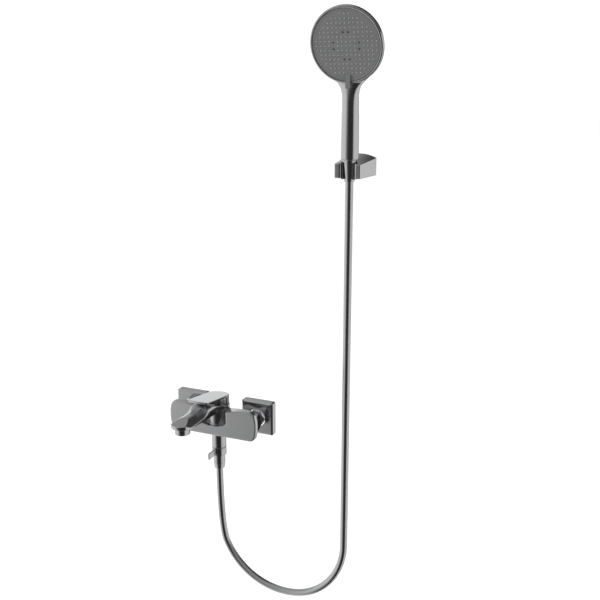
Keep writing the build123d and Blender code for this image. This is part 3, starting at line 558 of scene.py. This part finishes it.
end_x = plate_half - plate_bow
corner_x = end_x - plate_corner + 0.6
corner_z = plate_top - plate_corner
side = [(end_x + plate_bow * (1 - (z / plate_top) ** 2), z) for z in range(-12, 13, 4)]
right_end = (arc((corner_x, -corner_z), plate_corner, -90, -8, 12) + side
             + arc((corner_x, corner_z), plate_corner, 8, 90, 12))
left_end = [(-x, z) for x, z in reversed(right_end)]
plate = sheet_of("mixer_casting", right_end + left_end, "Y", plate_back, plate_front)
bpy.ops.object.mode_set(mode="EDIT")
pick(plate, "EDGE", lambda e: all(abs(v.co.y - plate_front / 1000) < 1e-6 for v in e.verts))
bpy.ops.mesh.bevel(offset=0.0022, segments=6, affect="EDGES")
bpy.ops.object.mode_set(mode="OBJECT")


def dip_z(x):
    """Height of the plate's dipping top edge at a distance from the middle."""
    t = min(max((abs(x) - dip_start) / (dip_half - dip_start), 0), 1)
    return dip_top + (plate_top - dip_top) * (1 - (1 - t) ** 2)


dip = [(x, dip_z(x)) for x in range(-88, 89, 4)]
back_side = [(88, plate_back - 2), (84, -55.5), (72, -52.5), (56, -48.5), (40, -43.5), (28, -38), (22, -33)]
back = sheet_of("back", back_side + [(-x, y) for x, y in reversed(back_side)], "Z", 0, 30.5)
fit(plate, back, "UNION")
fit(plate, sheet_of("dip", dip + [(88, 50), (-88, 50)], "Y", -20, plate_front - 5))
fit(plate, rod("barrel", (-89, body_y, 0), (89, body_y, 0), barrel_r), "UNION")
fit(plate, block("web", (-75, plate_back - 1, -12.7), (75, body_y, 12.7)), "UNION")
shoulder_half = scoop_half + 3
shoulders = block("shoulders", (-shoulder_half, plate_back - 1, -16), (shoulder_half, -45, column_top))
fit(plate, shoulders, "UNION")

# The scoop in front of the column: how much it has narrowed at each depth behind the plate's front.
narrowing = [(-0.4, -6), (0, -1), (1.4, 3), (3.2, 7), (5.6, 11.5), (8.5, 16), (11.5, 19.5)]
scoop_side = [(scoop_half - less, plate_front + depth) for less, depth in narrowing]
scoop = sheet_of("scoop", scoop_side + [(-x, y) for x, y in reversed(scoop_side)], "Z", -2, 60)
bpy.ops.object.select_all(action="DESELECT")
bpy.ops.mesh.primitive_uv_sphere_add(segments=64, ring_count=32, radius=1, location=(0, -0.0675, -0.0015),
                                     scale=(0.0305, 0.0195, 0.0095))
dish = bpy.context.object
bpy.ops.object.transform_apply(location=True, rotation=True, scale=True)
fit(plate, dish)
fit(plate, scoop)
fit(plate, rod("column", (0, body_y, -17), (0, body_y, column_top), column_r, 128), "UNION")
fit(plate, rod("outlet", (0, body_y, outlet_end), (0, body_y, 0), outlet_r), "UNION")
for x in (-inlet_x, inlet_x):
    fit(plate, rod("tail", (x, -12, 0), (x, body_y, 0), tail_r), "UNION")
    fit(plate, rod("flange", (x, -12, 0), (x, -14.5, 0), flange_r), "UNION")
    fit(plate, rod("way", (x, -5, 0), (x, body_y, 0), waterway_r))
fit(plate, rod("bore", (0, body_y, -6), (0, body_y, 40), cartridge_r, 128))
fit(plate, rod("outlet_way", (0, body_y, -60), (0, body_y, -16), outlet_way_r))
fair(plate, 0.62, 9, 195000)
settle(plate, "wall_set", ["mixer_body"], gunmetal, 60)

# ------------------------------------------------------------ cartridge
# Ordinary 35 mm ceramic cartridge: plastic base and shell, two ceramic discs, rubber seal, a carrier
# that the lever pin crosses and a brass retaining nut. It is hidden inside the column.
ceramic = plastic("ceramic", (0.80, 0.80, 0.78), (0.86, 0.86, 0.84), 0.18, 0.26, bump=0.02)
dress(black_rubber, "cartridge_seal")
dress(cartridge_plastic, "cartridge_base", "cartridge_shell", "lever_carrier")
dress(ceramic, "fixed_disc", "moving_disc")
dress(bare_brass, "retaining_nut")
dress(stainless, "lever_pin", "lever_stem", "grub_screw")

# ------------------------------------------------------------ spout
# Cast brass spout: a domed blade with a slanted front facet and a round tip. From the hub ring its
# back sweeps up in a saddle to just under the lever. It is polished and plated like the body.
spout_half = 21.5
spout_reach = -179.0
spout_top = 45.5
spout_shoulder = 33.5
hub_r = 22.8
hub_top = 29.5
hub_wall = 1.2
mouth_r = 12.0
saddle_nose = -117.0
saddle_z = 53.7
saddle_foot = 34.0
saddle_fade = 34.0
dome_h = spout_top - spout_shoulder
dome_r = (spout_half ** 2 + dome_h ** 2) / (2 * dome_h)
dome_z = spout_top - dome_r
spring = 180 / pi * Vector((spout_half, spout_shoulder - dome_z)).angle_signed(Vector((1, 0)))
section = (arc((0, dome_z), dome_r, abs(spring), 180 - abs(spring), 48)
           + [(-spout_half, 15), (spout_half, 15)])
spout = sheet_of("spout_casting", section, "Y", body_y, spout_reach - spout_half)
plan = [(spout_half, 0), (spout_half, spout_reach)] + [
    (x, y) for x, y in arc((0, spout_reach), spout_half, 0, -180, 48)][1:] + [(-spout_half, 0)]
fit(spout, sheet_of("plan", plan, "Z", 5, 70), "INTERSECT")
run_out = spout_reach - spout_half
profile = [(-34, 23.8), (run_out - 5, 32), (run_out - 5, spout_top - 8), (run_out + 36, spout_top + 0.3),
           (run_out + 40, spout_top + 2), (-34, spout_top + 2)]
fit(spout, sheet_of("profile", profile, "X", -30, 30), "INTERSECT")


def sweep(t):
    """The saddle's edge from the hub, at 0, to the nose, at 1."""
    h = [2 * t ** 3 - 3 * t ** 2 + 1, t ** 3 - 2 * t ** 2 + t, -2 * t ** 3 + 3 * t ** 2, t ** 3 - t ** 2]
    y = h[0] * body_y + h[1] * -75.5 + h[2] * (saddle_nose + 5) + h[3] * -65.0
    z = h[0] * 30.5 + h[1] * 9.0 + h[2] * saddle_z + h[3] * 39.0
    return y, z


rise = [sweep(i / 24) for i in range(25)]


def dome_at(x):
    """Height of the blade's dome across its width."""
    return dome_z + sqrt(dome_r ** 2 - x ** 2)


def arch_at(x):
    """Height of the taller arch at the saddle's front."""
    return saddle_foot + (saddle_z - saddle_foot) * (1 - min(abs(x) / spout_half, 1) ** 2.1) ** (1 / 2.1)


across = [spout_half * sin(radians(a)) for a in range(-90, 91, 5)]
saddle_section = [(x, 40) for x in across] + [(spout_half, 26), (-spout_half, 26)]
saddle = sheet_of("saddle", saddle_section, "Y", body_y, saddle_nose)
bpy.ops.object.mode_set(mode="EDIT")
pick(saddle, "FACE", lambda f: abs(f.calc_center_median().y - saddle_nose / 1000) < 1e-5)
for step in (1.5, 1.5, 2, 2, 3, 3, 4, 5, 6, 6):
    bpy.ops.mesh.extrude_region_move(TRANSFORM_OT_translate={"value": (0, -step / 1000, 0)})
bpy.ops.object.mode_set(mode="OBJECT")
for point in saddle.data.vertices:
    x, y, z = point.co * 1000
    if z > 33:
        fade = max(1 - max(saddle_nose - y, 0) / saddle_fade, 0) ** 3.5
        point.co.z = (dome_at(x) - 0.15 + fade * (arch_at(x) - dome_at(x))) / 1000
fit(spout, saddle, "UNION")
under = [(-20, 23.1), (run_out - 5, 32), (run_out - 5, 0), (-20, 0)]
fit(spout, sheet_of("under", under, "X", -30, 30))
fit(spout, sheet_of("swing", rise + [(saddle_nose + 5, 70), (-20, 70), (-20, 30.5)], "X", -30, 30))
fit(spout, rod("hub", (0, body_y, column_top), (0, body_y, hub_top), hub_r, 128), "UNION")
fit(spout, rod("lever_room", (0, body_y, hub_top), (0, body_y, 60), hub_r + 0.2, 128))
fit(spout, rod("hub_cup", (0, body_y, 22), (0, body_y, 60), hub_r - hub_wall, 128))
fit(spout, rod("hub_bore", (0, body_y, 10), (0, body_y, 60), cartridge_r + 0.1, 128))
fit(spout, rod("mouth", (0, spout_reach, 20), (0, spout_reach, 37), mouth_r))
fair(spout, 0.48, 8, 195000)
settle(spout, "wall_set", ["spout"], gunmetal, 60)

# ------------------------------------------------------------ aerator
# Turned brass shell, 29 mm across, screwed up into the spout's tip, with a plastic honeycomb insert
# and a rubber seal. Its lower edge is rounded to a narrow lip.
aerator = turned("aerator_cup", [
    (10.7, 18.3), (11.6, 18.0), (13.6, 18.0), (14.2, 18.25), (14.5, 18.9), (14.5, 20.6), (14.25, 20.9),
    (14.25, 21.3), (14.5, 21.6), (14.5, 30.4), (14.1, 30.9), (11.95, 31.0), (11.95, 35.5), (10.7, 35.5),
], 0, spout_reach)
settle(aerator, "wall_set", ["aerator_shell"], gunmetal)
dark_plastic = plastic("dark_plastic", (0.035, 0.035, 0.036), (0.05, 0.05, 0.051), 0.38, 0.5)
dress(dark_plastic, "aerator_insert")
dress(black_rubber, "aerator_gasket")

# ------------------------------------------------------------ lever handle
# Cast lever: a flat blade, as wide as the skirt that covers the cartridge, rising to the front and
# ending in a shallow curve. A grub screw behind a small cap holds it on the stem.
lever_r = 22.2
lever_rear = body_y + lever_r
lever_front = -122.0
lever_rise = tan(radians(8.4))
lever_thick = 4.5
lever_gap = 1.6
skirt_wall = 1.6
roof_thick = 3.5
screw_z = 38.5
skirt_base = hub_top + lever_gap


def lever_top(y):
    """Height of the lever's top at a distance from the wall."""
    return 45.4 + (lever_rear - y) * lever_rise


skirt = rod("lever_casting", (0, body_y, skirt_base), (0, body_y, 70), lever_r, 160)
skirt_front = body_y - lever_r
skirt_side = [
    (lever_rear + 1, skirt_base - 5), (lever_rear + 1, lever_top(lever_rear + 1)),
    (skirt_front - 1, lever_top(skirt_front - 1)), (skirt_front - 1, lever_top(skirt_front) - lever_thick),
    (skirt_front + 3, 41), (skirt_front + 9, skirt_base + 4.2), (body_y, skirt_base - 5),
]
fit(skirt, sheet_of("skirt_side", skirt_side, "X", -30, 30), "INTERSECT")
blade_side = [
    (body_y, lever_top(body_y)), (lever_front - 2, lever_top(lever_front - 2)),
    (lever_front - 2, lever_top(lever_front - 2) - lever_thick), (body_y, lever_top(body_y) - lever_thick),
]
blade = sheet_of("blade", blade_side, "X", -lever_r, lever_r)
bow = [(x, lever_front + 2.0 * (x / lever_r) ** 2) for x in range(-18, 19, 3)]
corner = arc((lever_r - 3, lever_front + 4.8), 3, -82, 0, 8)
edge = [(-x, y) for x, y in reversed(corner)] + bow + corner
fit(blade, sheet_of("blade_plan", edge + [(lever_r, -20), (-lever_r, -20)], "Z", 20, 80), "INTERSECT")
fit(skirt, blade, "UNION")
hollow = rod("hollow", (0, body_y, 20), (0, body_y, 70), lever_r - skirt_wall, 128)
roof = [(y, lever_top(y) - roof_thick) for y in (lever_rear + 5, skirt_front - 5)]
roof += [(skirt_front - 5, 15), (lever_rear + 5, 15)]
fit(hollow, sheet_of("roof", roof, "X", -30, 30), "INTERSECT")
fit(hollow, block("boss", (-4, -30, 35.5), (4, -10, 70)))
fit(skirt, hollow)
fit(skirt, rod("screw_way", (0, -10, screw_z), (0, -30, screw_z), 2.05, 32))
fit(skirt, rod("cap_seat", (0, -10, screw_z), (0, -19, screw_z), 2.9, 48))
fair(skirt, 0.42, 3, 195000)
settle(skirt, "lever", ["handle"], gunmetal, 50)
dress(gunmetal, "screw_cap")

# ------------------------------------------------------------ diverter
# Turned brass collar under the outlet boss, and below it a sleeve that a thin tab turns by a quarter
# to send the water to the spout or to the hose. The ceramic core and its gasket are inside.
collar = turned("diverter_collar", [
    (7.1, -19.5), (9.98, -19.5), (9.98, -30.0), (14.2, -30.0), (14.75, -30.5), (14.75, -63.9), (14.2, -64.5),
    (10.3, -64.5), (10.3, -94.4), (7.1, -94.4),
], 0, body_y)
settle(collar, "wall_set", ["diverter_body"], gunmetal)
sleeve = turned("diverter_ring", [
    (10.38, -82.4), (14.1, -82.4), (14.75, -81.8), (14.75, -65.5), (14.1, -64.9), (10.38, -64.9),
], 0, body_y)
tab = block("tab", (-1.6, -83.0, -77.4), (1.6, -51.5, -64.9))
bpy.ops.object.mode_set(mode="EDIT")
pick(tab, "EDGE", lambda e: abs(e.verts[0].co.x - e.verts[1].co.x) > 0.001 and e.verts[0].co.y < -0.08)
bpy.ops.mesh.bevel(offset=0.0008, segments=4, affect="EDGES")
bpy.ops.object.mode_set(mode="OBJECT")
soften(tab, 0.3, 50)
fit(sleeve, tab, "UNION")
settle(sleeve, "diverter", ["diverter_sleeve"], gunmetal)
dress(cartridge_plastic, "diverter_core")
dress(black_rubber, "diverter_gasket")

# ------------------------------------------------------------ hose nut
# Turned brass nut that screws on to the diverter's outlet and tapers down to the hose. A fine groove
# parts its straight grip from the taper.
hose_nut = turned("hose_nut_shell", [
    (7.6, -111.5), (8.0, -111.8), (9.7, -111.8), (10.1, -111.4), (11.75, -101.4), (11.75, -100.9),
    (11.5, -100.6), (11.5, -100.2), (11.9, -99.9), (11.9, -83.3), (11.4, -82.8), (10.35, -82.8),
    (10.35, -97.4), (7.6, -97.4),
], 0, body_y)
settle(hose_nut, "wall_set", ["hose_nut"], gunmetal)

# ------------------------------------------------------------ wall bracket
# Cast bracket with an arched top, narrowing from the wall to two arms that flare open. A dark plastic
# liner with a lip above and below holds the cone. It hangs on a base plate with two screws and plugs.
hook_x = 280.0
socket_y = -58.0
arm_low = 495.5
arm_reach = -70.0
back_half = 30.0
front_half = 23.5
socket_r = 13.6
arch = [(hook_x + back_half * (1 - i / 12), arm_low + 31 + 7 * (1 - (1 - i / 12) ** 2)) for i in range(25)]
arm_back = [(hook_x - back_half, arm_low), (hook_x + back_half, arm_low)] + arch
arm = sheet_of("bracket_casting", arm_back, "Y", 0, arm_reach)
for corner in arm.data.vertices:
    if corner.co.y < -0.05:
        across = (corner.co.x * 1000 - hook_x) / back_half
        corner.co.x = (hook_x + front_half * across) / 1000
        if corner.co.z > arm_low / 1000 + 0.001:
            corner.co.z = (arm_low + 25 + 1 - across ** 2) / 1000
soften(arm, 1.1, 50, 4)
fit(arm, rod("socket", (hook_x, socket_y, 450), (hook_x, socket_y, 560), socket_r, 128))
flare = [(8.5, socket_y), (10.5, -65), (13.2, -68.6), (16.5, -71)]
throat = [(hook_x - half, y) for half, y in flare] + [(hook_x + half, y) for half, y in reversed(flare)]
fit(arm, sheet_of("throat", throat, "Z", 450, 560))
fit(arm, block("base_room", (hook_x - 27, -12, arm_low + 3), (hook_x + 27, 5, arm_low + 29)))
fair(arm, 0.5, 3, 150000)
settle(arm, "wall_set", ["bracket_arm"], gunmetal, 50)
liner = turned("cradle", [
    (9.25, 494.0), (14.3, 494.0), (14.3, 495.2), (13.5, 495.4), (13.5, 520.6), (14.6, 520.8), (14.6, 522.0),
    (11.95, 522.0),
], hook_x, socket_y)
fit(liner, block("opening", (hook_x - 8.5, -90, 450), (hook_x + 8.5, socket_y, 560)))
soften(liner, 0.3, 40, 2)
settle(liner, "wall_set", ["cradle_liner"], dark_plastic)
anchor_nylon = plastic("anchor_nylon", (0.42, 0.42, 0.41), (0.50, 0.50, 0.49), 0.5, 0.6)
dress(stainless, "bracket_screws", "bracket_base")
dress(anchor_nylon, "wall_plugs")

# ------------------------------------------------------------ hose cone
# Turned brass cone nut on the hose's upper end, plated like the rest. It drops into the bracket's
# liner, and the hand shower is screwed on to it.
cone = turned("cone_nut", [
    (7.55, 489.3), (7.9, 489.0), (8.5, 489.0), (8.85, 489.4), (12.0, 523.8), (12.0, 526.6), (11.6, 527.0),
    (9.15, 527.0), (9.15, 513.0), (7.55, 513.0),
], hook_x, socket_y)
settle(cone, "handset", ["hose_cone"], gunmetal)

# ------------------------------------------------------------ hand shower
# Moulded plastic shell, plated dark grey: a round hollow grip that flattens and flares into the head,
# a rim band round the face and a shallow domed back. A threaded insert closes the grip's lower end.
head_place = Vector((0.280, -0.085, 0.7155))
head_tilt = 14.5
head_r = 64.0
face_r = 59.2
face_gap = 0.5
face_seat = -6.2
grip_low = 527.2
grip_bore_r = 12.1
into_head = Matrix.Translation(head_place) @ Matrix.Rotation(radians(90 + head_tilt), 4, "X")


def hang(piece):
    """Puts a piece modelled flat, with its face up, into the tilted head."""
    only(piece)
    piece.matrix_world = into_head @ piece.matrix_world
    bpy.ops.object.transform_apply(location=True, rotation=True, scale=True)
    return piece


back = [(head_r * sin(radians(a)), -9.0 - 5.8 * (cos(radians(a)) ** 1.6)) for a in range(85, 0, -6)]
head = hang(turned("shower_shell", [
    (0, 0), (head_r - 1.4, 0), (head_r - 0.6, -0.3), (head_r - 0.15, -0.9), (head_r, -1.8), (head_r, -9.0),
] + back + [(0, -14.8)], sides=160))

# The grip and the neck, ring by ring: height, middle of the depth, half width, half depth.
rings = [
    (grip_low + 0.8, -58.0, 15.5, 15.5), (560, -58.0, 15.3, 15.3), (592, -58.0, 14.9, 14.9),
    (614, -58.1, 14.6, 14.6), (627, -58.4, 14.6, 14.1), (637, -59.0, 15.0, 13.0), (645, -59.8, 16.6, 11.6),
    (651, -60.5, 19.4, 10.2), (656, -61.2, 23.6, 9.0), (660, -61.8, 28.4, 8.2), (665, -63.2, 34.0, 7.6),
    (673, -65.2, 40.5, 7.2), (687, -69.0, 44.0, 6.6),
]
bpy.ops.object.select_all(action="DESELECT")
grip_foot = Vector((hook_x, socket_y, grip_low)) / 1000
bpy.ops.mesh.primitive_circle_add(vertices=96, radius=0.0149, location=grip_foot, fill_type="NGON")
grip = bpy.context.object
bpy.ops.object.transform_apply(location=True, rotation=True, scale=True)
bpy.ops.object.mode_set(mode="EDIT")
bpy.ops.mesh.select_all(action="SELECT")
last = (grip_low, socket_y, 14.9, 14.9)
for z, y, wide, deep in rings:
    bpy.ops.mesh.extrude_region_move(
        TRANSFORM_OT_translate={"value": (0, (y - last[1]) / 1000, (z - last[0]) / 1000)})
    bpy.ops.transform.resize(value=(wide / last[2], deep / last[3], 1),
                             center_override=(hook_x / 1000, y / 1000, z / 1000))
    last = (z, y, wide, deep)
bpy.ops.mesh.select_all(action="SELECT")
bpy.ops.mesh.normals_make_consistent(inside=False)
bpy.ops.object.mode_set(mode="OBJECT")
fit(head, grip, "UNION")
fit(head, hang(rod("face_room", (0, 0, face_seat), (0, 0, 40), face_r + face_gap, 160)))
fit(head, hang(rod("chamber", (0, 0, -9.0), (0, 0, 2), head_r * 0.6, 96)))
fit(head, rod("grip_bore", (hook_x, socket_y, 500), (hook_x, socket_y, 620), grip_bore_r))
fair(head, 0.62, 6, 195000)
plated_plastic = metal("plated_plastic", (0.46, 0.463, 0.47), (0.50, 0.503, 0.51), 0.16, 0.22)
settle(head, "handset", ["handset_shell"], plated_plastic, 60)
dress(bare_brass, "grip_nipple")

# ------------------------------------------------------------ face plate
# Moulded grey face of the head, a disc with a raised edge, a round hole for every nozzle and eight
# wider jets. Its thumb tab bridges the rim, and turning it changes the spray.
pitch = 7.52
row_pitch = 7.36
spot_limit = 56.0


def row(reach, *missing):
    """The columns of one row of nozzles, from one side to the other, less those left out."""
    return [i for i in range(-reach, reach + 1) if i not in missing]


rows = [
    row(1), row(3), row(4), row(5), row(6, -1, 0, 1), row(6), row(7, -3, 3), row(7, -3, 3),
    row(7, -3, 3), row(6), row(6, -1, 0, 1), row(5), row(4), row(3, 0),
]
jets = [(-0.6, 4), (0.6, 4), (-0.6, 10), (0.6, 10), (-3, 6.3), (3, 6.3), (-3, 7.7), (3, 7.7)]


def row_y(number):
    """Height of a row of nozzles above the middle of the face."""
    return 2.6 + (6.5 - number) * row_pitch


spots = [(i * pitch, row_y(r)) for r, line in enumerate(rows) for i in line]
spots = [(x, y) if x * x + y * y < spot_limit ** 2 else (x * 0.985, y * 0.985) for x, y in spots]


def scatter(name, pattern, places):
    """Copies a small piece to many places, each copy with its own mesh, and joins them."""
    copies = []
    for x, y in places:
        twin = pattern.copy()
        twin.data = pattern.data.copy()
        twin.location = (x / 1000, y / 1000, 0)
        bpy.context.scene.collection.objects.link(twin)
        copies.append(twin)
    bpy.data.objects.remove(pattern)
    bpy.ops.object.select_all(action="DESELECT")
    for twin in copies:
        twin.select_set(True)
    bpy.context.view_layer.objects.active = copies[0]
    bpy.ops.object.join()
    field = bpy.context.object
    field.name = name
    bpy.ops.object.transform_apply(location=True, rotation=True, scale=True)
    return field


plate_low = -4.5
face = turned("face_disc", [
    (0, plate_low), (face_r - 0.2, plate_low), (face_r, plate_low + 0.2), (face_r, -1.1),
    (face_r - 0.5, -0.6), (face_r - 1.6, -0.45), (face_r - 2.4, -0.9), (face_r - 3.0, -1.5),
    (face_r - 4.2, -1.6), (0, -1.6),
], sides=160)
hole = [(0, -6), (1.55, -6), (1.55, -1.75), (1.85, -1.2), (1.85, 0), (0, 0)]
fit(face, scatter("holes", turned("hole", hole, sides=12), spots))
jet = [(0, -3.6), (1.5, -3.6), (1.9, -1.9), (2.5, -1.3), (2.5, 0), (0, 0)]
fit(face, scatter("jet_holes", turned("jet", jet, sides=24), [(i * pitch, row_y(r)) for i, r in jets]))

tab_low = -70.2
tab_high = -47.5
tab_half = 4.25
# Past the rim the tab's underside rises with the front of the neck, so that it slides over it.
thumb_side = [
    (tab_high, -2.2), (tab_high, -1.4), (tab_high - 2.5, 1.6), (tab_high - 7, 3.4), (tab_high - 13, 4.5),
    (tab_low + 5, 5.2), (tab_low + 2, 5.7), (tab_low + 0.6, 5.6), (tab_low, 5.1), (tab_low + 0.3, 4.5),
    (-66.0, 3.0), (-62.0, 1.5), (-59.8, 0.8), (-57.6, 0.8), (-57.6, -2.2),
]
thumb = sheet_of("thumb", thumb_side, "X", -tab_half, tab_half)
soften(thumb, 0.45, 50, 3)
fit(face, thumb, "UNION")
face_plastic = plastic("face_plastic", (0.105, 0.106, 0.108), (0.125, 0.126, 0.128), 0.36, 0.46)
settle(hang(face), "spray_face", ["face_plate"], face_plastic)

# ------------------------------------------------------------ nozzle mat
# A silicone seal behind the face plate, and the soft nozzles, which turn with the plate. They poke
# through its holes, each a short cone with a rounded tip and a fine bore.
mat_side = [(0, face_seat), (58.0, face_seat), (58.2, -6.0), (58.2, -4.75), (58.0, -4.55), (0, -4.55)]
mat = turned("nozzle_mat_skin", mat_side, sides=128)
cone_side = [(0, plate_low), (1.42, plate_low), (1.40, -1.7), (1.15, -0.65), (0.85, -0.35), (0.5, -0.35),
             (0.4, -0.9), (0, -0.9)]
cones = scatter("nozzles", turned("nozzle", cone_side, sides=12), spots)
nozzle_silicone = plastic("nozzle_silicone", (0.26, 0.262, 0.265), (0.31, 0.312, 0.315), 0.42, 0.52)
settle(hang(mat), "handset", ["nozzle_mat"], nozzle_silicone)
settle(hang(cones), "spray_face", [], nozzle_silicone)
